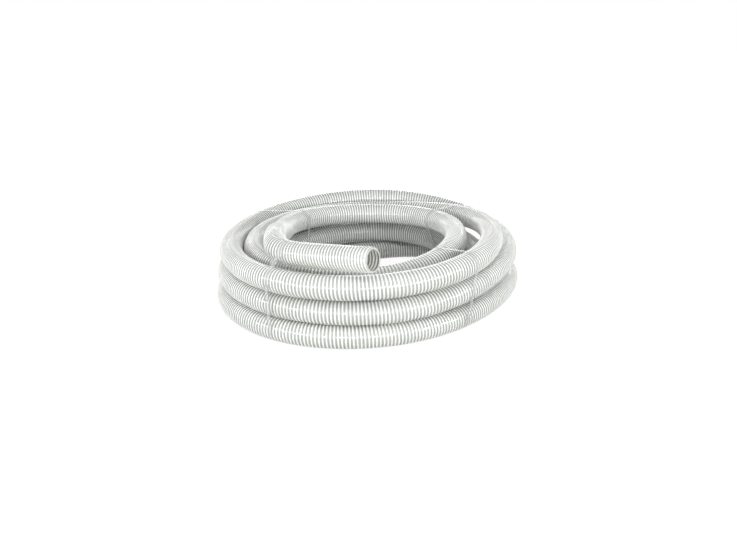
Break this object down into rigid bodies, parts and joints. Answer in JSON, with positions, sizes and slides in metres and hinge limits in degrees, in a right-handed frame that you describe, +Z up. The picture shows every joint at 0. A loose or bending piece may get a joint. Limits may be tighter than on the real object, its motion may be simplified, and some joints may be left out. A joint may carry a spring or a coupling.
{
  "type": "vacuum hose",
  "caption": "Clear suction hose with a white rigid spiral in its wall and plain cut ends, wound in a strapped coil for storage.",
  "frame": {"origin": "centre of the coil's footprint, on the surface that it rests on", "axes": "+Z up, +X to the right and -Y towards the viewer of the picture"},
  "size_m": [0.6778, 0.7497, 0.214],
  "materials": {
    "clear_wall": "clear flexible PVC, smooth and glossy",
    "white_spiral": "rigid PVC, off white",
    "strap": "thin clear film"
  },
  "bodies": {
    "root": {"hose_free_end_wall": "clear_wall", "hose_free_end_spiral": "white_spiral", "hose_coil_wall": "clear_wall", "hose_tail_end_wall": "clear_wall", "hose_tail_end_spiral": "white_spiral", "strap_front_left": "strap", "strap_front_right": "strap", "strap_back_right": "strap", "strap_back_left": "strap"}
  },
  "joints": []
}
